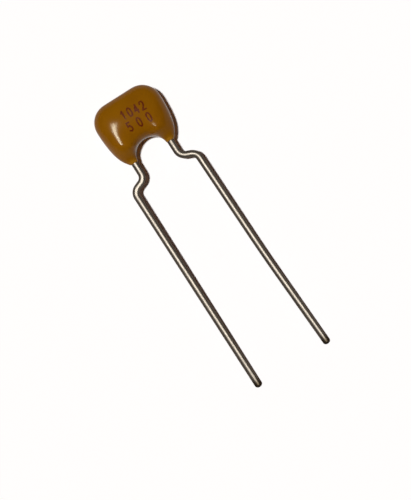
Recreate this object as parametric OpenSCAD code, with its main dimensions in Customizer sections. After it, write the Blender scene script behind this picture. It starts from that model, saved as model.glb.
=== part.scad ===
// Radial leaded multilayer ceramic capacitor, resin dipped.
// A ceramic chip with interleaved metal plates stands between two tinned wires. Solder holds
// each wire to an end cap of the chip, and a coat of resin is dipped over all of it. The coat
// runs down both wires into two roots with an arch between them. Both wires are kicked out to
// the pitch of a circuit board's holes.
// The part lies on a level surface: on the belly of the coat and on both wire tips.

/* [Coat] */
// Widest measure across the coat
coat_w = 5.08; // [4.9:0.02:5.6]
// From the top edge to the ends of the roots
coat_h = 4.55; // [4.4:0.05:5.2]
// Thickness at the middle of the coat
coat_t = 2.7; // [2.4:0.05:3.4]
// Radius of the two top corners
corner_r = 1.4; // [0.9:0.05:1.5]
// How far each side runs on nearly straight below its top corner
side_run = 2.6; // [1.8:0.1:2.8]
// Angle of the outer flank of a root from the wire
flank_angle = 27; // [10:1:40]
// How far the outer flank runs on nearly straight above the end of its root
flank_run = 0.45; // [0.2:0.05:0.9]
// From the top edge to the crown of the arch between the roots
arch_crown = 3.46; // [3.4:0.02:3.6]
// Resin around the wire at the end of a root
lip = 0.03; // [0.02:0.01:0.1]
// Depth below the top edge at which the roots start to thin towards the wires
thinning_start = 3; // [2.4:0.1:3.2]
// Fullness of the cross-section: 2 is an ellipse, more is nearer to a box
fullness = 2; // [2:0.1:2.6]
// How far the crest of each rib lies towards the arch, as a share of half the rib's length
crest_shift = 0.25; // [0:0.05:0.4]

/* [Wires] */
// Diameter of the tinned wire
wire_d = 0.5; // [0.4:0.01:0.55]
// Distance between the two wires where they leave the coat
exit_spacing = 2.9; // [2.84:0.02:3.04]
// Distance between the two wires just beyond the kinks
pitch = 5.08; // [4.6:0.02:5.6]
// From the end of a root to the start of the kink
neck = 0.75; // [0.4:0.05:1.5]
// Steepest angle of the kink from the wire
kink_angle = 68; // [60:1:75]
// Radius of every bend, at the wire's centre
bend_r = 0.62; // [0.4:0.01:0.65]
// From the end of a root to the tip of the wire
wire_reach = 17.5; // [15:0.05:24]
// Length of wire held inside the coat
wire_inside = 3.75; // [3.5:0.05:3.8]
// Bevel around the cut tip
tip_bevel = 0.12; // [0.02:0.01:0.16]
// Inward set of the left wire below its kink
left_set = 0.4; // [0:0.1:1.5]
// Outward set of the right wire below its kink
right_set = 1.4; // [0:0.1:2.5]
// Further outward set of the right wire towards its tip
tip_set = 1.5; // [0.5:0.1:3]
// Length of wire set further outwards
tip_l = 7.6; // [3:0.1:10]

/* [Chip] */
// Height of the ceramic block, along the wires
ceramic_h = 2.2; // [1.8:0.05:2.3]
// Thickness of the ceramic block
ceramic_t = 1.3; // [0.8:0.05:1.4]
// Radius of the tumbled edges of the ceramic block
ceramic_r = 0.12; // [0.05:0.01:0.2]
// Resin between the top edge of the coat and the chip
top_cover = 0.6; // [0.55:0.01:0.65]
// Thickness of an end cap
cap_wall = 0.05; // [0.03:0.01:0.08]
// How far an end cap wraps along the block
cap_band = 0.45; // [0.3:0.01:0.6]

/* [Plates] */
// Number of metal plates in the block
plate_count = 13; // [5:2:17]
// Thickness of a plate
plate_t = 0.02; // [0.01:0.005:0.025]
// Ceramic above the first plate and below the last
plate_cover = 0.14; // [0.1:0.01:0.25]
// Ceramic beside each plate
plate_margin = 0.25; // [0.15:0.01:0.4]
// Ceramic between a plate and the end cap that it stays clear of
plate_gap = 0.35; // [0.2:0.01:0.5]

/* [Solder] */
// Solder between the wire and the end cap, and around the wire
solder_film = 0.04; // [0.03:0.005:0.06]
// Foot of the solder on the end cap
solder_w = 0.95; // [0.75:0.01:1.1]
// How far the solder stops short of the chip's lower edge and the wire's inner end
solder_step = 0.1; // [0.05:0.01:0.2]

/* [Hidden] */
$fn = 48;

// Derived sizes. The part is laid out flat first: X across the wires, the wires along -Y, and
// Y = 0 at the top edge of the coat.
wire_r = wire_d / 2;
exit_x = exit_spacing / 2;
root_y = -coat_h;
root_r = wire_r + lip;
arch_half_w = exit_x - root_r;
arch_rise = coat_h - arch_crown;

cap_x = exit_x - wire_r - solder_film;
chip_h = ceramic_h + 2 * cap_wall;
chip_t = ceramic_t + 2 * cap_wall;
chip_y = -top_cover - chip_h / 2;
ceramic_x = cap_x - cap_wall;
wire_end_y = root_y + wire_inside;
plate_pitch = (ceramic_t - 2 * plate_cover - plate_t) / (plate_count - 1);
plate_l = 2 * ceramic_x - plate_gap;
plate_h = ceramic_h - 2 * plate_margin;

tip_y = root_y - wire_reach;

// Straight middle of a kink that leaves the wire set outwards by an angle, how far that kink
// reaches down, and how far the wire reaches below it.
function kink_l(set) =
    ((pitch - exit_spacing) / 2 - bend_r * (1 + cos(set) - 2 * cos(kink_angle))) / sin(kink_angle);
function kink_reach(set) = bend_r * (2 * sin(kink_angle) - sin(set)) + kink_l(set) * cos(kink_angle);
function lower_reach(set) = wire_reach - neck - kink_reach(set);

// How far the cut of a plate's slot runs on past the end of the ceramic block.
SLOT_OVERRUN = 0.2;

// The coat is a loft of ribs. Each rib is an oval that runs from a point on the outer outline
// to a point on the arch, over the front of the coat and back behind it.
RIBS = 28;         // ribs on each side of the middle one
RIB_POINTS = 36;   // points around each rib
CURVE_STEPS = 60;  // steps along each curve of the outlines
ARCH_LAG = 5;      // how late the ribs' inner ends run down the arch

function mix(a, b, t) = a + (b - a) * t;
function ease(t) = let (s = min(1, max(0, t))) s * s * (3 - 2 * s);
function bezier(a, b, c, d, t) =
    pow(1 - t, 3) * a + 3 * pow(1 - t, 2) * t * b + 3 * (1 - t) * t * t * c + pow(t, 3) * d;

// Outer outline of the right half, from the middle of the top edge to the end of the root.
side_top = [coat_w / 2, -corner_r];
side_end = [exit_x + root_r, root_y];
function corner_point(a) = [coat_w / 2 - corner_r + corner_r * sin(a), -corner_r + corner_r * cos(a)];
function side_point(t) = bezier(side_top, side_top - [0, side_run],
    side_end + flank_run * [sin(flank_angle), cos(flank_angle)], side_end, t);
outer_curve = concat(
    [[0, 0]],
    [for (i = [0:CURVE_STEPS]) corner_point(90 * i / CURVE_STEPS)],
    [for (i = [1:CURVE_STEPS]) side_point(i / CURVE_STEPS)]);

// Arch of the right half, from its crown to the inner end of the root.
arch_curve = [for (i = [0:CURVE_STEPS]) let (a = 90 * i / CURVE_STEPS)
    [arch_half_w * sin(a), root_y + arch_rise * cos(a)]];

// Length along a curve at each of its points, and the point at a share of its whole length.
function lengths(curve, i = 0, total = 0) = i == len(curve) - 1 ? [total] :
    concat([total], lengths(curve, i + 1, total + norm(curve[i + 1] - curve[i])));
function at_share(curve, along, share) =
    let (goal = share * along[len(along) - 1],
         i = min(len(curve) - 2, len([for (l = along) if (l <= goal) 1]) - 1))
    mix(curve[i], curve[i + 1], (goal - along[i]) / (along[i + 1] - along[i]));

outer_lengths = lengths(outer_curve);
arch_lengths = lengths(arch_curve);

// The ribs of the right half, from the middle (0) to the end of the root (1).
function outer_end(t) = at_share(outer_curve, outer_lengths, t);
function arch_end(t) = at_share(arch_curve, arch_lengths, (t + pow(t, ARCH_LAG)) / 2);
function thinning(y) = ease((-y - thinning_start) / (coat_h - thinning_start));
function half_thickness(y) = mix(coat_t / 2, root_r, thinning(y));
function rib_power(y) = 2 / mix(fullness, 2, thinning(y));
function rib_crest(y) = mix(crest_shift, 0, thinning(y));
function signed_pow(v, p) = sign(v) * pow(abs(v), p);

// Points of one rib. side is 1 on the right half and -1 on the left.
function rib(t, side) =
    let (outer = outer_end(t), inner = arch_end(t),
         middle = (outer + inner) / 2, reach = (outer - inner) / 2,
         depth = half_thickness(middle[1]), power = rib_power(middle[1]), crest = rib_crest(middle[1]))
    [for (k = [0:RIB_POINTS - 1])
        let (a = 360 * k / RIB_POINTS, along = signed_pow(cos(a), power) - crest * pow(sin(a), 2),
             flat = middle + reach * along)
        [side * flat[0], flat[1], depth * signed_pow(sin(a), power)]];

ribs = concat(
    [for (i = [RIBS:-1:1]) rib(i / RIBS, -1)],
    [for (i = [0:RIBS]) rib(i / RIBS, 1)]);
coat_points = [for (r = ribs) for (p = r) p];
function next(k) = (k + 1) % RIB_POINTS;
coat_faces = concat(
    [[for (k = [0:RIB_POINTS - 1]) k]],
    [for (i = [0:2 * RIBS - 1]) for (k = [0:RIB_POINTS - 1])
        [i * RIB_POINTS + k, (i + 1) * RIB_POINTS + k, (i + 1) * RIB_POINTS + next(k),
         i * RIB_POINTS + next(k)]],
    [[for (k = [RIB_POINTS - 1:-1:0]) 2 * RIBS * RIB_POINTS + k]]);

// How the part lies: turned about X until the belly and the underside of the tips are level.
contact_y = tip_y + tip_bevel;
rest_angle = max([for (p = coat_points) atan2(-wire_r - p[2], p[1] - contact_y)]);
function rest_y(p) = p[1] * cos(rest_angle) - p[2] * sin(rest_angle);
function rest_z(p) = p[1] * sin(rest_angle) + p[2] * cos(rest_angle);
rest_low = rest_z([0, contact_y, -wire_r]);
rest_back = max([for (p = coat_points) rest_y(p)]);
rest_front = rest_y([0, tip_y, wire_r - tip_bevel]);

module lay_down()
    translate([0, -(rest_back + rest_front) / 2, -rest_low]) rotate([rest_angle, 0, 0]) children();

// A piece of the right side, turned round to the left. Every such piece is alike front and back.
module on_left()
    rotate([0, 180, 0]) children();

// Block with rounded edges along X, from x0 to x1.
module block_along_x(x0, x1, h, t, r)
    translate([x0, chip_y, 0]) rotate([90, 0, 90]) linear_extrude(x1 - x0) {
        square([h - 2 * r, t], center = true);
        square([h, t - 2 * r], center = true);
        for (sy = [-1, 1]) for (sz = [-1, 1])
            translate([sy * (h / 2 - r), sz * (t / 2 - r)]) circle(r);
    }

// Space of one plate. run lengthens it past the end that meets an end cap.
module plate_space(i, run) {
    side = i % 2 == 1 ? -1 : 1;
    x0 = side < 0 ? -ceramic_x - run : ceramic_x - plate_l;
    z = -ceramic_t / 2 + plate_cover + (i - 1) * plate_pitch;
    translate([x0, chip_y - plate_h / 2, z]) cube([plate_l + run, plate_h, plate_t]);
}

module block_shape()
    block_along_x(-ceramic_x, ceramic_x, ceramic_h, ceramic_t, ceramic_r);

module cap_shape()
    block_along_x(ceramic_x - cap_band, cap_x, chip_h, chip_t, ceramic_r + cap_wall);

// Solder and the wire in it: a foot on the end cap that narrows to a film around the wire.
module solder_shape() {
    y0 = chip_y - chip_h / 2 + solder_step;
    y1 = wire_end_y - solder_step;
    film_r = wire_r + solder_film;
    translate([0, y1, 0]) rotate([90, 0, 0]) linear_extrude(y1 - y0) {
        polygon([[cap_x, -solder_w / 2], [exit_x, -film_r], [exit_x, film_r], [cap_x, solder_w / 2]]);
        translate([exit_x, 0]) circle(film_r);
    }
}

// Straight wire of length l from the origin towards -Y. What follows it is moved to its end.
module wire_run(l) {
    rotate([90, 0, 0]) cylinder(r = wire_r, h = l);
    translate([0, -l, 0]) children();
}

// Bend from the origin, heading along -Y, that turns by angle towards +X (turn 1) or -X (turn -1).
// What follows the bend is moved to its end and turned with it.
module wire_bend(angle, turn) {
    rotate([0, turn > 0 ? 0 : 180, 0]) translate([bend_r, 0, 0]) rotate([0, 0, 180])
        rotate_extrude(angle = angle) translate([bend_r, 0]) circle(wire_r);
    translate([turn * bend_r, 0, 0]) rotate([0, 0, turn * angle])
        translate([-turn * bend_r, 0, 0]) children();
}

// Cut end of the wire, with its bevel.
module wire_tip()
    rotate([90, 0, 0]) cylinder(r1 = wire_r, r2 = wire_r - tip_bevel, h = tip_bevel);

// Wire on the right side, from its inner end down to the end of a kink that leaves it set
// outwards; the rest follows it.
module wire_with_kink(set)
    translate([exit_x, wire_end_y, 0]) wire_run(wire_inside + neck)
        wire_bend(kink_angle, 1) wire_run(kink_l(set))
            wire_bend(kink_angle - set, -1) children();

module left_wire_shape()
    on_left() wire_with_kink(-left_set)
        wire_run(lower_reach(-left_set) / cos(left_set) - tip_bevel) wire_tip();

// The right wire runs straight below its kink and is bent slightly on the way to its tip.
module right_wire_shape() {
    full_set = right_set + tip_set;
    bend_reach = bend_r * (sin(full_set) - sin(right_set));
    wire_with_kink(right_set)
        wire_run((lower_reach(right_set) - bend_reach - tip_l * cos(full_set)) / cos(right_set))
            wire_bend(tip_set, 1) wire_run(tip_l - tip_bevel) wire_tip();
}

function two_digits(i) = str(i < 10 ? "0" : "", i);
function plate_name(i) = str("electrode_", two_digits(i));

// Dipped resin: the loft of ribs, filled by everything that it encloses.
module epoxy_coating()
    color([0.49, 0.31, 0.02]) lay_down() difference() {
        polyhedron(coat_points, coat_faces, convexity = 6);
        block_shape();
        right_side_space();
        on_left() right_side_space();
    }

// Space in the coat of one end cap, its solder and the wire.
module right_side_space() {
    cap_shape();
    solder_shape();
    translate([exit_x, wire_end_y, 0]) wire_run(wire_inside + neck);
}

module ceramic_chip()
    color([0.85, 0.8, 0.7]) lay_down() difference() {
        block_shape();
        for (i = [1:plate_count]) plate_space(i, SLOT_OVERRUN);
    }

module electrode(i)
    color([0.72, 0.7, 0.66]) lay_down() plate_space(i, 0);

module termination_shape()
    difference() {
        cap_shape();
        block_shape();
    }

module termination_left()
    color([0.78, 0.78, 0.76]) lay_down() on_left() termination_shape();

module termination_right()
    color([0.78, 0.78, 0.76]) lay_down() termination_shape();

module solder_without_wire()
    difference() {
        solder_shape();
        translate([exit_x, wire_end_y, 0]) wire_run(wire_inside);
    }

module solder_left()
    color([0.66, 0.66, 0.64]) lay_down() on_left() solder_without_wire();

module solder_right()
    color([0.66, 0.66, 0.64]) lay_down() solder_without_wire();

module lead_left()
    color([0.75, 0.73, 0.69]) lay_down() left_wire_shape();

module lead_right()
    color([0.75, 0.73, 0.69]) lay_down() right_wire_shape();

epoxy_coating();
ceramic_chip();
for (i = [1:plate_count])
    electrode(i);
termination_left();
termination_right();
solder_left();
solder_right();
lead_left();
lead_right();
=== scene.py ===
# %% [markdown]
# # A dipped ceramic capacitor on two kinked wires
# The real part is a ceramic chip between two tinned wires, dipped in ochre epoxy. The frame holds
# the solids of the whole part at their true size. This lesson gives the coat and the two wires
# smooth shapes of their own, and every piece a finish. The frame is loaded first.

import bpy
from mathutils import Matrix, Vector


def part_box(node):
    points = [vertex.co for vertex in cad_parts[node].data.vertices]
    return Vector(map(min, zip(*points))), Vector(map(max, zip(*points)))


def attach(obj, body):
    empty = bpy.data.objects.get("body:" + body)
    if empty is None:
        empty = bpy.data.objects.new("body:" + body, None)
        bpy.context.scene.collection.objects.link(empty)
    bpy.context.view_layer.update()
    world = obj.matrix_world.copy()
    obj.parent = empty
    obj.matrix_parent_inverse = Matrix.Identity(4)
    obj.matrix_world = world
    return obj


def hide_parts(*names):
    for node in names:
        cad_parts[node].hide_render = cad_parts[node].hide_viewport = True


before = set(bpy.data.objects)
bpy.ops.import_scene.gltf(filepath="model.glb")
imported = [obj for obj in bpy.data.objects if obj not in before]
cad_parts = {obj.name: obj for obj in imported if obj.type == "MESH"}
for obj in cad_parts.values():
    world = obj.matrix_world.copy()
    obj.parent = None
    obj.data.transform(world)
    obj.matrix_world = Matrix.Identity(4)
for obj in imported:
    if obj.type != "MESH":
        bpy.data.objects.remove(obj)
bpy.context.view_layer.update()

# %% [markdown]
# ## Units and how the part lies
# The part is easiest to draw flat: X across the wires, the wires along -Y, and Y = 0 at the top
# edge of the coat. It then lies on the belly of its coat and on both wire tips, which tips it by
# a few degrees. Drawing it flat and laying it down last keeps every size a plain number.

# %% Units and the lay-down
import math
import bmesh
import bpy
from mathutils import Vector

MM = 0.001
TIP_DOWN = math.radians(3.35263)
FLAT_TO_LAID = Vector((0, 11.0099, 1.53206)) * MM


def deselect_everything():
    if bpy.context.object and bpy.context.object.mode != "OBJECT":
        bpy.ops.object.mode_set(mode="OBJECT")
    bpy.ops.object.select_all(action="DESELECT")


def pick_only(piece):
    deselect_everything()
    piece.select_set(True)
    bpy.context.view_layer.objects.active = piece


def lay_down(piece):
    """Turns a flat piece as it lies, and moves the turn and the place into its mesh."""
    pick_only(piece)
    piece.rotation_euler.x = TIP_DOWN
    piece.location = FLAT_TO_LAID
    bpy.ops.object.transform_apply(location=True, rotation=True, scale=True)


def in_mm(corners, digits=3):
    """Corners in mm, rounded, for printing."""
    return [[round(v / MM, digits) for v in corner] for corner in corners]


print("tipped by", round(math.degrees(TIP_DOWN), 2), "degrees")

# %% [markdown]
# ## The camera
# A small part is shot from above with a long lens, so that the wires stay parallel. The camera
# hangs 100 mm up and leans by three degrees. It is turned about its own axis, so that the wires
# run down to the right.

# %% Camera
CAMERA_AT = Vector((-1.08, -6.484, 100)) * MM
CAMERA_TURN = (2.796, 1.406, -32.39)
bpy.ops.object.camera_add(location=CAMERA_AT, rotation=[math.radians(a) for a in CAMERA_TURN])
camera = bpy.context.object
camera.name = "overhead_camera"
camera.data.lens = 104.25
camera.data.sensor_width = 36
camera.data.clip_start, camera.data.clip_end = 0.001, 10
bpy.context.scene.camera = camera
print("lens", camera.data.lens, "mm at", in_mm([camera.location], 1)[0], "mm")

# %% [markdown]
# ## Floor
# The part lies on a sheet of plain white card, far wider than the picture. Card is matt, so it
# has no gloss at all.

# %% White card
FLOOR_HALF = 900 * MM
bpy.ops.mesh.primitive_plane_add(size=2 * FLOOR_HALF, location=(0, 0, 0))
floor = bpy.context.object
floor.name = "white_card"

matt_card = bpy.data.materials.new("white_card")
matt_card.use_nodes = True
paper = matt_card.node_tree.nodes["Principled BSDF"]
paper.inputs["Base Color"].default_value = (1, 1, 1, 1)
paper.inputs["Roughness"].default_value = 1
paper.inputs["Specular IOR Level"].default_value = 0
floor.data.materials.append(matt_card)
print("floor reaches", round(FLOOR_HALF / MM), "mm each way")

# %% [markdown]
# ## Key lamp and room
# One distant soft lamp, high up on the left, throws the short shadow to the right. A sun lamp of
# a few degrees stands for it, because it lights the whole card evenly. A dim warm room fills the
# shadow. A sun of strength pi lights white card to exactly white, so lamp and room are levels
# that add up to about one, and every colour comes out about as it is written. The lamp itself
# isn't reflected: that is left to the cards below.

# %% Key lamp and world
TOWARDS_KEY = Vector((-0.17, 0.02, 0.98)).normalized()
KEY_LEVEL, ROOM_LEVEL = 0.975, 0.055
ROOM_COLOUR = (1, 0.5, 0.35, 1)
bpy.ops.object.light_add(type="SUN", location=TOWARDS_KEY * 0.5)
key = bpy.context.object
key.name = "key_lamp"
key.rotation_euler = TOWARDS_KEY.to_track_quat("Z", "Y").to_euler()
key.data.energy = KEY_LEVEL * math.pi
key.data.angle = math.radians(4)
key.visible_glossy = False

world = bpy.data.worlds.new("dim_room")
bpy.context.scene.world = world
bpy.context.scene.view_settings.view_transform = "Standard"
world.use_nodes = True
room = world.node_tree.nodes["Background"]
room.inputs["Color"].default_value = ROOM_COLOUR
room.inputs["Strength"].default_value = ROOM_LEVEL
print("lamp", round(math.degrees(math.acos(TOWARDS_KEY.z)), 1), "degrees off the zenith")

# %% [markdown]
# ## Cards that show as reflections
# Gloss shows a shape by what it reflects, so a studio hangs lit cards beside the camera. Two
# long ones run along the wires here. One, low on the left, draws the streak down the side of the
# coat. The other, almost overhead, draws the bright line along each wire. They light nothing
# matt, so the level of the light stays as it is.

# %% Two reflected cards
CARD_AWAY = 250 * MM


def reflected_card(name, towards, width, length, glow):
    """A long card that only shows as a reflection. Its radiance is glow times that of white."""
    towards = Vector(towards).normalized()
    bpy.ops.object.light_add(type="AREA", location=towards * CARD_AWAY)
    card = bpy.context.object
    card.name = name
    card.rotation_euler = towards.to_track_quat("Z", "Y").to_euler()
    card.data.shape = "RECTANGLE"
    card.data.size, card.data.size_y = length * MM, width * MM
    card.data.energy = glow * math.pi * length * width * MM * MM
    card.visible_diffuse = False
    return card


streak_card = reflected_card("streak_card", (-0.42, 0.21, 0.9), width=54, length=165, glow=150)
wire_card = reflected_card("wire_card", (-0.02, -0.02, 0.98), width=60, length=320, glow=28)
print("cards", streak_card.name, "and", wire_card.name, "hang", round(CARD_AWAY / MM), "mm away")

# %% [markdown]
# ## The outline of the coat
# The coat is widest near the top and draws in to the two wires, with an arch between them. Two
# curves of the right half say it all: the outer outline, from the middle of the top edge round
# the corner and down to the root, and the arch, from its crown to the same root. Both are the
# curves of the solid model, so the smooth coat fills the same space.

# %% Outline of the coat
COAT_W, COAT_H, COAT_T = 5.08, 4.55, 2.7
CORNER_R, SIDE_RUN, FLANK_ANGLE, FLANK_RUN = 1.4, 2.6, math.radians(27), 0.45
ARCH_CROWN, ROOT_R, WIRE_R, EXIT_X = 3.46, 0.28, 0.25, 1.45
THINNING_START, CREST_SHIFT = 3.0, 0.25
CURVE_STEPS = 60


def bezier(a, b, c, d, t):
    """Point at t, from 0 to 1, of the curve from a to d with the handles b and c."""
    return a * (1 - t) ** 3 + b * 3 * (1 - t) ** 2 * t + c * 3 * (1 - t) * t * t + d * t ** 3


side_top = Vector((COAT_W / 2, -CORNER_R))
side_end = Vector((EXIT_X + ROOT_R, -COAT_H))
flank = Vector((math.sin(FLANK_ANGLE), math.cos(FLANK_ANGLE))) * FLANK_RUN
quarter = [math.radians(90 * i / CURVE_STEPS) for i in range(CURVE_STEPS + 1)]
corner_middle = Vector((COAT_W / 2 - CORNER_R, -CORNER_R))
outer_curve = [Vector((0, 0))]
outer_curve += [corner_middle + CORNER_R * Vector((math.sin(a), math.cos(a))) for a in quarter]
outer_curve += [bezier(side_top, side_top - Vector((0, SIDE_RUN)), side_end + flank, side_end,
                       i / CURVE_STEPS) for i in range(1, CURVE_STEPS + 1)]
arch_half_w, arch_rise = EXIT_X - ROOT_R, COAT_H - ARCH_CROWN
arch_curve = [Vector((arch_half_w * math.sin(a), -COAT_H + arch_rise * math.cos(a)))
              for a in quarter]
print("outline points", len(outer_curve), "and", len(arch_curve))

# %% [markdown]
# ## Ribs
# A dipped coat has no edges, so a bevelled box would never look right. A loft does: oval ribs
# run from points on the outer outline to points on the arch, and a skin is drawn over them. Each
# rib knows its middle, how far it reaches across, how deep it is and how it is turned. It also
# knows how far its crest lies towards the arch, which fades out as the coat thins to the roots.


# %% Where each rib stands
def point_at(curve, share):
    """Point at a share of the whole length of a curve."""
    steps = [(b - a).length for a, b in zip(curve, curve[1:])]
    to_go = share * sum(steps)
    for start, end, step in zip(curve, curve[1:], steps):
        if to_go <= step:
            return start.lerp(end, to_go / step)
        to_go -= step
    return curve[-1]


def ease(t):
    """Rises smoothly from 0 to 1, and is level at both ends."""
    t = min(1, max(0, t))
    return t * t * (3 - 2 * t)


def rib(share, side):
    """Middle, half length, half depth, turn and crest shift of the rib at this share."""
    outer = point_at(outer_curve, share)
    inner = point_at(arch_curve, (share + share ** 5) / 2)
    middle, reach = (outer + inner) / 2, (outer - inner) / 2
    thinning = ease((-middle.y - THINNING_START) / (COAT_H - THINNING_START))
    depth = COAT_T / 2 + (ROOT_R - COAT_T / 2) * thinning
    return (Vector((side * middle.x, middle.y, 0)), reach.length, depth,
            math.atan2(reach.y, side * reach.x), CREST_SHIFT * (1 - thinning))


RIBS_A_SIDE = 28
ribs = [rib(i / RIBS_A_SIDE, -1) for i in range(RIBS_A_SIDE, 0, -1)]
ribs += [rib(i / RIBS_A_SIDE, 1) for i in range(RIBS_A_SIDE + 1)]
print("ribs", len(ribs), "the middle one reaches", round(2 * ribs[RIBS_A_SIDE][1], 2), "mm")

# %% [markdown]
# ## One rib as a ring of points
# Each rib starts as a circle, added in edit mode at its place and turn and squeezed to an oval.
# The coat is fullest a little nearer the arch than its outer edge, so the crest of the oval is
# moved that way. All points of one height move together and the highest ones furthest, while the
# two ends of the oval stay on the outlines. The smoothing that comes later draws a ring in, most
# of it in its first round and by a known share, so each ring starts larger by that share.

# %% Draw the ribs
RING = 24
ROUNDINGS = 2
ROUNDING_LOSS = 0.75 + 0.25 * math.cos(2 * math.pi / RING)


def choose_points(points, chosen):
    """Selects exactly these points of the mesh in edit mode."""
    points.ensure_lookup_table()
    for p in points:
        p.select = False
    for i in chosen:
        points[i].select = True


def draw_rib(piece, middle, across, deep, turn, crest):
    """Adds one oval ring of points to the piece, with its crest moved inwards."""
    bpy.ops.mesh.select_all(action="DESELECT")
    bpy.ops.mesh.primitive_circle_add(vertices=RING, radius=across * MM / ROUNDING_LOSS,
                                      location=middle * MM, rotation=(math.pi / 2, 0, turn))
    bpy.ops.transform.resize(value=(1, 1, deep / across), center_override=middle * MM)
    outwards = Vector((math.cos(turn), math.sin(turn), 0))
    half_ring = RING // 2
    for step in range(RING // 4):
        shift = crest * across * math.cos(2 * math.pi * step / RING) ** 2
        same_height = (step, (half_ring - step) % half_ring)
        mesh = bmesh.from_edit_mesh(piece.data)
        newest = range(len(mesh.verts) - RING, len(mesh.verts))
        choose_points(mesh.verts, [i for k, i in enumerate(newest) if k % half_ring in same_height])
        mesh.select_flush_mode()
        bmesh.update_edit_mesh(piece.data)
        bpy.ops.transform.translate(value=-shift * MM * outwards)


deselect_everything()
bpy.ops.object.add(type="MESH")
coat = bpy.context.object
coat.name = "resin_coat"
bpy.ops.object.mode_set(mode="EDIT")
bpy.ops.mesh.select_mode(type="VERT")
for one in ribs:
    draw_rib(coat, *one)
print("points drawn", len(bmesh.from_edit_mesh(coat.data).verts))

# %% [markdown]
# ## Skin over the ribs
# Two neighbouring rings at a time are bridged with faces, which keeps the order of the ribs
# certain round the arch.


# %% Bridge the ribs
def choose_edges_between(chosen):
    """Selects these points of the coat and the edges between them."""
    mesh = bmesh.from_edit_mesh(coat.data)
    choose_points(mesh.verts, chosen)
    for e in mesh.edges:
        e.select = e.verts[0].select and e.verts[1].select
    bmesh.update_edit_mesh(coat.data)


for i in range(len(ribs) - 1):
    choose_edges_between(range(i * RING, (i + 2) * RING))
    bpy.ops.mesh.bridge_edge_loops()
print("faces on the coat", len(bmesh.from_edit_mesh(coat.data).faces))

# %% [markdown]
# ## Where the resin ends on the wires
# Wet resin draws a little way down a wire and ends in a thin rounded lip. Each end ring is
# extruded down to the lip, then twice back up inside the coat, narrower each time, and closed
# there. The ends of the skin are then out of sight around the wire.

# %% Lips at the roots
LIP_STEPS = ((0.05, 0.95), (-0.02, 0.9), (-0.1, 0.9))
first_ring, last_ring = range(RING), range((len(ribs) - 1) * RING, len(ribs) * RING)
for side, ring in ((-1, first_ring), (1, last_ring)):
    choose_edges_between(ring)
    root = Vector((side * EXIT_X, -COAT_H, 0)) * MM
    for down, narrow in LIP_STEPS:
        bpy.ops.mesh.extrude_region_move(TRANSFORM_OT_translate={"value": (0, -down * MM, 0)})
        bpy.ops.transform.resize(value=(narrow, narrow, narrow), center_override=root)
    bpy.ops.mesh.edge_face_add()
bpy.ops.mesh.select_all(action="SELECT")
bpy.ops.mesh.normals_make_consistent(inside=False)
bpy.ops.object.mode_set(mode="OBJECT")
print("closed coat:", len(coat.data.polygons), "faces")

# %% [markdown]
# ## Smooth and lay down the coat
# Two levels of subdivision round the last facets of the loft, so that the streak on it has even
# edges. They are applied, because the finish reads positions on the finished surface.

# %% Smooth the coat
pick_only(coat)
smoothing = coat.modifiers.new("rounding", "SUBSURF")
smoothing.levels = smoothing.render_levels = ROUNDINGS
bpy.ops.object.modifier_apply(modifier="rounding")
bpy.ops.object.shade_smooth()
lay_down(coat)
print("coat box", in_mm((coat.bound_box[0], coat.bound_box[6]), 2))

# %% [markdown]
# ## The wires
# Each wire leaves its root straight, is kinked outwards by a forming tool, and runs on to a cut
# tip. It is drawn as by hand: a disc at the upper end is extruded for every straight stretch and
# spun round the centre of every bend. A curve with a round profile would do as well, but the
# spin keeps each bend a true arc.

# %% Drawing a wire
WIRE_START_Y, NECK, KINK_ANGLE, BEND_R = -0.8, 0.75, math.radians(68), 0.62
HALF_PITCH, WIRE_REACH = 2.54, 17.5
WIRE_SIDES, BEND_STEPS = 32, 14
TIP_ROUNDING, TIP_SWEEP, TIP_STEPS = 0.22, math.radians(84), 6


class Wire:
    """A wire that is being drawn: where its end is, and where that end heads."""

    def __init__(self, name, x, y):
        deselect_everything()
        bpy.ops.object.add(type="MESH")
        self.piece = bpy.context.object
        self.piece.name = name
        self.end, self.heading = Vector((x, y, 0)), 0.0
        bpy.ops.object.mode_set(mode="EDIT")
        bpy.ops.mesh.select_mode(type="VERT")
        bpy.ops.mesh.primitive_circle_add(vertices=WIRE_SIDES, radius=WIRE_R * MM, fill_type="NGON",
                                          location=self.end * MM, rotation=(math.pi / 2, 0, 0))

    def ahead(self):
        return Vector((math.sin(self.heading), -math.cos(self.heading), 0))

    def beside(self):
        return Vector((math.cos(self.heading), math.sin(self.heading), 0))

    def run(self, length, scale=1):
        """Extrudes the end straight on, and narrows it where it has to be narrower."""
        step = self.ahead() * length
        bpy.ops.mesh.extrude_region_move(TRANSFORM_OT_translate={"value": step * MM})
        self.end += step
        if scale != 1:
            bpy.ops.transform.resize(value=(scale, scale, scale), center_override=self.end * MM)

    def bend(self, angle, radius):
        """Spins the end round a centre beside it. A positive angle bends towards +X."""
        turn = 1 if angle > 0 else -1
        centre = self.end + self.beside() * turn * radius
        bpy.ops.mesh.spin(steps=BEND_STEPS, angle=-angle, center=centre * MM, axis=(0, 0, 1))
        self.heading += angle
        self.end = centre - self.beside() * turn * radius

    def run_to_tip(self, tip_y):
        """Runs on to where the wire is cut, and ends it in a rounded tip with a small flat."""
        self.run((self.end.y - tip_y) / math.cos(self.heading) - TIP_ROUNDING)
        done = 0.0
        for i in range(1, TIP_STEPS + 1):
            a = TIP_SWEEP * i / TIP_STEPS
            self.run(TIP_ROUNDING * (math.sin(a) - math.sin(done)), math.cos(a) / math.cos(done))
            done = a


print("a wire leaves its root", EXIT_X, "mm from the middle")

# %% [markdown]
# ## The two paths
# The kink carries each wire out to the pitch of the holes in a circuit board. Below it the left
# wire heads a little inwards. The right wire heads outwards, and bends a little more on its way
# down. These small sets are what makes a real pair of wires look handled.


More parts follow.
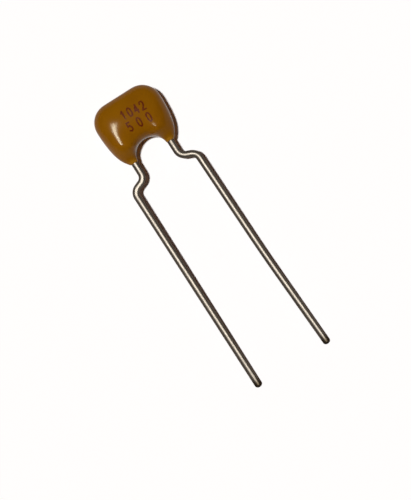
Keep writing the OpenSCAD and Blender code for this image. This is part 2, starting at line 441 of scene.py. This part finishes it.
# %% Draw both wires
def kinked_wire(name, side, outward):
    """A wire from inside the coat to the end of its kink, left heading outwards by an angle."""
    drawn = Wire(name, side * EXIT_X, WIRE_START_Y)
    drawn.run(COAT_H + NECK + WIRE_START_Y)
    both_bends = BEND_R * (1 + math.cos(outward) - 2 * math.cos(KINK_ANGLE))
    drawn.bend(side * KINK_ANGLE, BEND_R)
    drawn.run((HALF_PITCH - EXIT_X - both_bends) / math.sin(KINK_ANGLE))
    drawn.bend(-side * (KINK_ANGLE - outward), BEND_R)
    return drawn


def finish_wire(drawn):
    """Joins the points of neighbouring stretches, smooths the sides and lays the wire down."""
    bpy.ops.mesh.select_all(action="SELECT")
    bpy.ops.mesh.remove_doubles(threshold=0.0005 * MM)
    bpy.ops.mesh.normals_make_consistent(inside=False)
    bpy.ops.object.mode_set(mode="OBJECT")
    bpy.ops.object.shade_smooth_by_angle(angle=math.radians(40))
    lay_down(drawn.piece)
    return drawn.piece


TIP_Y = -COAT_H - WIRE_REACH
LEFT_SET, RIGHT_SET, LOWER_SET = (math.radians(a) for a in (-0.4, 1.4, 1.5))
RIGHT_STRAIGHT, LOWER_BEND_R = 6.05, 140

left = kinked_wire("left_wire", -1, LEFT_SET)
left.run_to_tip(TIP_Y)
left_wire = finish_wire(left)

right = kinked_wire("right_wire", 1, RIGHT_SET)
right.run(RIGHT_STRAIGHT)
right.bend(LOWER_SET, LOWER_BEND_R)
right.run_to_tip(TIP_Y)
right_wire = finish_wire(right)
print("tips at", [round(v, 3) for v in left.end], "and", [round(v, 3) for v in right.end])

# %% [markdown]
# ## Helpers for nodes
# Every finish is a small tree of nodes. A few helpers keep the cells short. The first adds a
# node and fills its sockets, by a value or by a link. The others do so for sums with numbers and
# with vectors.


# %% Node helpers
def add_node(tree, kind, settings=None, **sockets):
    """Adds a node. A socket is named with _ for a space, or numbered, such as i0. It is filled
    with a number, a colour or the output of another node."""
    new = tree.nodes.new(kind)
    for name, value in (settings or {}).items():
        setattr(new, name, value)
    for name, value in sockets.items():
        numbered = name[0] == "i" and name[1:].isdigit()
        socket = new.inputs[int(name[1:]) if numbered else name.replace("_", " ")]
        if isinstance(value, bpy.types.NodeSocket):
            tree.links.new(value, socket)
        else:
            socket.default_value = value
    return new


def maths(tree, operation, a, b=0.0):
    return add_node(tree, "ShaderNodeMath", {"operation": operation}, i0=a, i1=b).outputs[0]


def vector_maths(tree, operation, a, b=(0, 0, 0)):
    new = add_node(tree, "ShaderNodeVectorMath", {"operation": operation}, i0=a, i1=b)
    gives_number = operation in ("DOT_PRODUCT", "DISTANCE", "LENGTH")
    return new.outputs["Value" if gives_number else "Vector"]


def times(tree, vector, factor):
    return add_node(tree, "ShaderNodeVectorMath", {"operation": "SCALE"},
                    Vector=vector, Scale=factor).outputs["Vector"]


print("helpers for nodes, sums and vectors are ready")

# %% [markdown]
# ## Helpers for node groups
# What several finishes share is built once, as a node group, and placed in each of them with its
# own values.


# %% Group helpers
def new_group(name, inputs, outputs):
    """An empty shader node group, with its input and output nodes."""
    group = bpy.data.node_groups.new(name, "ShaderNodeTree")
    for direction, sockets in (("INPUT", inputs), ("OUTPUT", outputs)):
        for socket, kind in sockets:
            group.interface.new_socket(name=socket, in_out=direction,
                                       socket_type="NodeSocket" + kind)
    return group, group.nodes.new("NodeGroupInput"), group.nodes.new("NodeGroupOutput")


def place_group(tree, group, **sockets):
    return add_node(tree, "ShaderNodeGroup", {"node_tree": group}, **sockets).outputs


print("node groups so far:", len(bpy.data.node_groups))

# %% [markdown]
# ## Grain that several finishes share
# Cured resin, fired ceramic, plating and solder are all slightly uneven, each at its own scale.
# One group serves them all: it gives a patch value for colour and a height for the bump, from
# two sizes of noise.

# %% Uneven surface group
uneven, uneven_in, uneven_out = new_group(
    "uneven_surface",
    [("Point", "Vector"), ("Patches per mm", "Float"), ("Grain per mm", "Float")],
    [("Patches", "Float"), ("Grain", "Float")])
point_in_mm = times(uneven, uneven_in.outputs["Point"], 1 / MM)
patches = add_node(uneven, "ShaderNodeTexNoise", Vector=point_in_mm, Detail=3,
                   Scale=uneven_in.outputs["Patches per mm"])
grain = add_node(uneven, "ShaderNodeTexNoise", Vector=point_in_mm, Detail=2,
                 Scale=uneven_in.outputs["Grain per mm"])
uneven.links.new(patches.outputs[0], uneven_out.inputs["Patches"])
uneven.links.new(grain.outputs[0], uneven_out.inputs["Grain"])
print("group", uneven.name, "with", len(uneven.nodes), "nodes")

# %% [markdown]
# ## Printed digits: one stroke of ink
# The face is stamped with two rows of small plain digits in dark red ink. Ink is a finish, not a
# piece, so it is drawn in the coat's own material. A stroke is the distance from a short line,
# and an oval stroke is the distance from an ellipse. A digit is the nearest of its strokes.

# %% Stroke groups
stroke, stroke_in, stroke_out = new_group(
    "ink_stroke",
    [("Point", "Vector"), ("From", "Vector"), ("To", "Vector")],
    [("Distance", "Float")])
from_start = vector_maths(stroke, "SUBTRACT", stroke_in.outputs["Point"], stroke_in.outputs["From"])
whole = vector_maths(stroke, "SUBTRACT", stroke_in.outputs["To"], stroke_in.outputs["From"])
along = vector_maths(stroke, "DOT_PRODUCT", from_start, whole)
square = vector_maths(stroke, "DOT_PRODUCT", whole, whole)
share = add_node(stroke, "ShaderNodeMath", {"operation": "DIVIDE", "use_clamp": True},
                 i0=along, i1=square).outputs[0]
gap = vector_maths(stroke, "DISTANCE", from_start, times(stroke, whole, share))
stroke.links.new(gap, stroke_out.inputs["Distance"])

oval, oval_in, oval_out = new_group(
    "ink_oval",
    [("Point", "Vector"), ("Middle", "Vector"), ("Half size", "Vector")],
    [("Distance", "Float")])
offset = vector_maths(oval, "SUBTRACT", oval_in.outputs["Point"], oval_in.outputs["Middle"])
unit = vector_maths(oval, "DIVIDE", offset, oval_in.outputs["Half size"])
radius = vector_maths(oval, "LENGTH", unit)
slope = vector_maths(oval, "DIVIDE", unit, oval_in.outputs["Half size"])
steepness = vector_maths(oval, "LENGTH", slope)
out_of_round = maths(oval, "ABSOLUTE", maths(oval, "SUBTRACT", radius, 1.0))
off_line = maths(oval, "DIVIDE", maths(oval, "MULTIPLY", out_of_round, radius), steepness)
oval.links.new(off_line, oval_out.inputs["Distance"])
print("groups", stroke.name, "and", oval.name)

# %% [markdown]
# ## Printed digits: the two rows
# Each digit is one line through a few points of a box that is 2 wide and 2 high, except the 0,
# which is an oval. The rows lean a little, as a rubber stamp leaves them. The nearest ink starts
# out far away, and every stroke may bring it nearer.

# %% Digits group
DIGITS = {
    "1": [(-0.7, 0.5), (0.1, 1), (0.1, -1)],
    "2": [(-0.95, 0.5), (-0.5, 1), (0.5, 1), (0.95, 0.5), (0.7, 0), (-1, -1), (1, -1)],
    "4": [(0.45, -1), (0.45, 1), (-1, -0.4), (1, -0.4)],
    "5": [(0.85, 1), (-0.75, 1), (-0.85, 0.1), (0.3, 0.25), (0.95, -0.25), (0.8, -0.8), (0.1, -1),
          (-0.95, -0.8)],
}
HALF_DIGIT, LEAN, FAR_AWAY = Vector((0.125, 0.31, 1)), 0.084, 100.0
ROWS = [("1042", Vector((-0.36, -1.43, 0)), 0.48), ("500", Vector((-0.405, -2.335, 0)), 0.73)]

stamp, stamp_in, stamp_out = new_group(
    "stamped_digits", [("Point", "Vector")], [("Distance", "Float")])
flat_point = stamp_in.outputs["Point"]
nearest_ink = FAR_AWAY
for row, start, pitch in ROWS:
    for number, digit in enumerate(row):
        middle = start + Vector((1, -LEAN, 0)) * pitch * number
        if digit == "0":
            strokes = [place_group(stamp, oval, Point=flat_point, Middle=middle,
                                   Half_size=HALF_DIGIT)]
        else:
            sized = [(x * HALF_DIGIT.x, y * HALF_DIGIT.y) for x, y in DIGITS[digit]]
            corners = [middle + Vector((x, y - x * LEAN, 0)) for x, y in sized]
            strokes = [place_group(stamp, stroke, Point=flat_point, From=a, To=b)
                       for a, b in zip(corners, corners[1:])]
        for one in strokes:
            nearest_ink = maths(stamp, "MINIMUM", nearest_ink, one["Distance"])
stamp.links.new(nearest_ink, stamp_out.inputs["Distance"])
print("digits group has", len(stamp.nodes), "nodes")

# %% [markdown]
# ## Helpers for the finishes
# A finish mixes colours, carries values over from one range to another, and bumps its surface.
# The last helper starts a material. Its place is read from Object coordinates, which stay put
# when the piece is moved.


# %% Finish helpers
def mixed(tree, factor, colour_at_0, colour_at_1):
    return add_node(tree, "ShaderNodeMix", {"data_type": "RGBA"},
                    Factor=factor, i6=colour_at_0, i7=colour_at_1).outputs[2]


def ranged(tree, value, results, limits=(0.0, 1.0), kind="LINEAR"):
    """Carries a value over from one range of numbers, the limits, to another, the results."""
    new = add_node(tree, "ShaderNodeMapRange", {"interpolation_type": kind}, Value=value,
                   From_Min=limits[0], From_Max=limits[1], To_Min=results[0], To_Max=results[1])
    return new.outputs[0]


def axis_of(tree, vector, axis):
    return add_node(tree, "ShaderNodeSeparateXYZ", Vector=vector).outputs[axis]


def raise_surface(tree, surface, height, strength):
    """Bumps the surface by a height in metres."""
    bump = add_node(tree, "ShaderNodeBump", Strength=strength, Distance=1.0, Height=height)
    tree.links.new(bump.outputs[0], surface.inputs["Normal"])


def new_finish(name):
    """A new material, its tree, its surface node, and the place on the piece in metres."""
    finish = bpy.data.materials.new(name)
    finish.use_nodes = True
    tree = finish.node_tree
    place = add_node(tree, "ShaderNodeTexCoord").outputs["Object"]
    return finish, tree, tree.nodes["Principled BSDF"], place


print("materials so far:", len(bpy.data.materials))

# %% [markdown]
# ## Finish of the coat
# Cured epoxy is a glossy, slightly uneven ochre. The colour wanders a little between a browner
# and a yellower shade, and the surface has the faint waves of a dipped coat. Its rims stay deep
# in colour, so the gloss is that of a low index which rises late towards the edges. Near each
# root the ochre is painted paler: a painted glint where the coat ends on the wire.

# %% Ochre epoxy
BROWN_OCHRE, YELLOW_OCHRE = (0.175, 0.062, 0.001, 1), (0.235, 0.092, 0.0012, 1)
# The next line gives the colour and the span of the glint painted near each root.
ROOT_GLINT_COLOUR, ROOT_GLINT_SPAN = (0.34, 0.16, 0.012, 1), (0.1, 0.45)
WAVE_HEIGHT, RIPPLE_HEIGHT = 0.008 * MM, 0.0006 * MM
epoxy, tree, resin, place = new_finish("ochre_epoxy")
wander = place_group(tree, uneven, Point=place, Patches_per_mm=0.7, Grain_per_mm=5.0)
ochre = mixed(tree, wander["Patches"], BROWN_OCHRE, YELLOW_OCHRE)

# The paler ochre near each root is a painted glint where the coat ends on the wire.
root_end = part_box("epoxy_coating")[0].y
painted_root_glint = ranged(tree, axis_of(tree, place, "Y"), results=(0.5, 0.0),
                   limits=[root_end + up * MM for up in ROOT_GLINT_SPAN], kind="SMOOTHSTEP")
ochre = mixed(tree, painted_root_glint, ochre, ROOT_GLINT_COLOUR)

waves = maths(tree, "ADD", maths(tree, "MULTIPLY", wander["Patches"], WAVE_HEIGHT),
              maths(tree, "MULTIPLY", wander["Grain"], RIPPLE_HEIGHT))
raise_surface(tree, resin, waves, strength=0.08)
resin.inputs["IOR"].default_value = 1.1
resin.inputs["Specular IOR Level"].default_value = 1
resin.inputs["Specular Tint"].default_value = (1, 0.95, 0.72, 1)
print("resin wanders between", BROWN_OCHRE[:3], "and", YELLOW_OCHRE[:3])

# %% [markdown]
# ## The print on the coat
# The digits group works on the flat part, so the place is first moved back to flat millimetres.
# The tip of the part has moved its face about 0.07 mm down, and the rows go with it. A stroke is
# drawn where the distance from its line is small, and that distance is made a little ragged. Ink
# lies on the face only, is thin in places, and is duller than the resin.

# %% Ink over the resin
INK, STROKE_EDGE, RAG = (0.08, 0.0045, 0.0015, 1), (0.035, 0.07), 0.05
INK_DULLER, ROWS_DOWN, FACE_FROM = 0.15, 0.07, 1.6 * MM
flat = add_node(tree, "ShaderNodeMapping", {"vector_type": "POINT"}, Vector=place,
                Location=(0, ROWS_DOWN - FLAT_TO_LAID.y / MM, 0),
                Scale=(1 / MM, 1 / MM, 0)).outputs[0]
ragged = add_node(tree, "ShaderNodeTexNoise", Vector=flat, Scale=9.0, Detail=2.0).outputs[0]
distance = place_group(tree, stamp, Point=flat)["Distance"]
wobble = maths(tree, "MULTIPLY", maths(tree, "SUBTRACT", ragged, 0.5), RAG)
inked = ranged(tree, maths(tree, "ADD", distance, wobble), results=(1.0, 0.0),
               limits=STROKE_EDGE, kind="SMOOTHSTEP")
cover = ranged(tree, ragged, results=(0.72, 1.0), limits=(0.3, 0.6))
on_face = maths(tree, "GREATER_THAN", axis_of(tree, place, "Z"), FACE_FROM)
ink = maths(tree, "MULTIPLY", maths(tree, "MULTIPLY", inked, cover), on_face)
tree.links.new(mixed(tree, ink, ochre, INK), resin.inputs["Base Color"])

sheen = ranged(tree, wander["Grain"], results=(0.17, 0.2))
dulled = maths(tree, "ADD", sheen, maths(tree, "MULTIPLY", ink, INK_DULLER))
tree.links.new(dulled, resin.inputs["Roughness"])
print("coat finish has", len(tree.nodes), "nodes")

# %% [markdown]
# ## Finish of the wires
# Tinned wire is drawn through a die, which leaves fine lines along it, and age has dulled it to
# a dark warm grey. Its flanks turn almost black, so the metal's edge tint is low. The colour
# darkens towards each cut tip over the last millimetre.

# %% Tinned wire
DARK_TIN, PALE_TIN = (0.118, 0.103, 0.084, 1), (0.152, 0.136, 0.112, 1)
TIP_DARK_COLOUR, TIP_DARK_SPAN, LINE_RELIEF = (0.03, 0.021, 0.01, 1), (0.2, 0.85), 0.001 * MM
tinned, tree, metal, place = new_finish("tinned_wire")
drawn_out = add_node(tree, "ShaderNodeMapping", Vector=place, Scale=(1, 0.04, 1)).outputs[0]
lines = place_group(tree, uneven, Point=drawn_out, Patches_per_mm=6.0, Grain_per_mm=16.0)
spots = place_group(tree, uneven, Point=place, Patches_per_mm=1.6, Grain_per_mm=9.0)
tin = mixed(tree, lines["Patches"], DARK_TIN, PALE_TIN)

low_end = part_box("lead_left")[0].y
# The colour darkens towards each cut tip over its last millimetre.
darker_to_tip = ranged(tree, axis_of(tree, place, "Y"), results=(0.9, 0.0),
              limits=[low_end + up * MM for up in TIP_DARK_SPAN], kind="SMOOTHSTEP")
tree.links.new(mixed(tree, darker_to_tip, tin, TIP_DARK_COLOUR), metal.inputs["Base Color"])
metal.inputs["Metallic"].default_value = 1
metal.inputs["Specular Tint"].default_value = (0.16, 0.02, 0.01, 1)
tree.links.new(ranged(tree, spots["Patches"], results=(0.36, 0.48)), metal.inputs["Roughness"])
raise_surface(tree, metal, maths(tree, "MULTIPLY", lines["Grain"], LINE_RELIEF), strength=0.4)
print("wire finish has", len(tree.nodes), "nodes")

# %% [markdown]
# ## Finishes of the pieces inside
# The chip, its plates, the end caps and the solder are hidden by the coat, but someone may take
# the part to bits. Each has its own colour and grain: matt fired ceramic, dark fired metal, pale
# plating and greyer solder. They differ only in numbers, so one function makes all four.

# %% Fired and plated finishes
UNEVEN = 0.08


def grainy_finish(name, dark, pale, metallic, roughness, patches, grain, relief):
    """A finish in two shades, with its patches and grain counted per mm and its relief in mm."""
    finish, tree, surface, place = new_finish(name)
    look = place_group(tree, uneven, Point=place, Patches_per_mm=patches, Grain_per_mm=grain)
    colour = mixed(tree, look["Patches"], (*dark, 1), (*pale, 1))
    tree.links.new(colour, surface.inputs["Base Color"])
    surface.inputs["Metallic"].default_value = metallic
    rough = ranged(tree, look["Grain"], results=(roughness - UNEVEN, roughness + UNEVEN))
    tree.links.new(rough, surface.inputs["Roughness"])
    raise_surface(tree, surface, maths(tree, "MULTIPLY", look["Grain"], relief * MM), strength=0.5)
    return finish


inner_finishes = {
    "ceramic_chip": grainy_finish("fired_ceramic", (0.55, 0.47, 0.33), (0.74, 0.66, 0.5),
                                  metallic=0, roughness=0.6, patches=3, grain=30, relief=0.002),
    "electrode": grainy_finish("fired_nickel", (0.3, 0.28, 0.24), (0.5, 0.47, 0.4),
                               metallic=1, roughness=0.5, patches=8, grain=60, relief=0.0005),
    "termination": grainy_finish("tin_plating", (0.5, 0.5, 0.47), (0.66, 0.66, 0.62),
                                 metallic=1, roughness=0.35, patches=4, grain=40, relief=0.002),
    "solder": grainy_finish("set_solder", (0.34, 0.34, 0.33), (0.48, 0.48, 0.46),
                            metallic=1, roughness=0.42, patches=3, grain=20, relief=0.003),
}
print("inner finishes:", ", ".join(sorted(inner_finishes)))

# %% [markdown]
# ## Give every piece its finish and its place
# The new coat and wires stand for their solids, and ride on the part's one body. The solids that
# stay keep their shape and take a finish.

# %% Finishes, bodies and slots
for piece, finish, solid, slot in ((coat, epoxy, "epoxy_coating", "resin_coat"),
                                   (left_wire, tinned, "lead_left", "tinned_wire"),
                                   (right_wire, tinned, "lead_right", "tinned_wire")):
    piece.data.materials.clear()
    piece.data.materials.append(finish)
    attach(piece, "root")
    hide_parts(solid)

for name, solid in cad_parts.items():
    for kind, finish in inner_finishes.items():
        if name.startswith(kind):
            solid.data.materials.clear()
            solid.data.materials.append(finish)
print("dressed", len(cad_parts), "nodes")

# %% [markdown]
# ## Which card each piece reflects
# The coat only reflects the low card and the wires only the one overhead, so each card can be
# moved without a second streak on the other's pieces.

# %% Link the cards
for card, pieces in ((streak_card, [coat]), (wire_card, [left_wire, right_wire])):
    sees_card = bpy.data.collections.new("sees_" + card.name)
    for piece in pieces:
        sees_card.objects.link(piece)
    card.light_linking.receiver_collection = sees_card
    print(card.name, "is seen by", ", ".join(piece.name for piece in pieces))
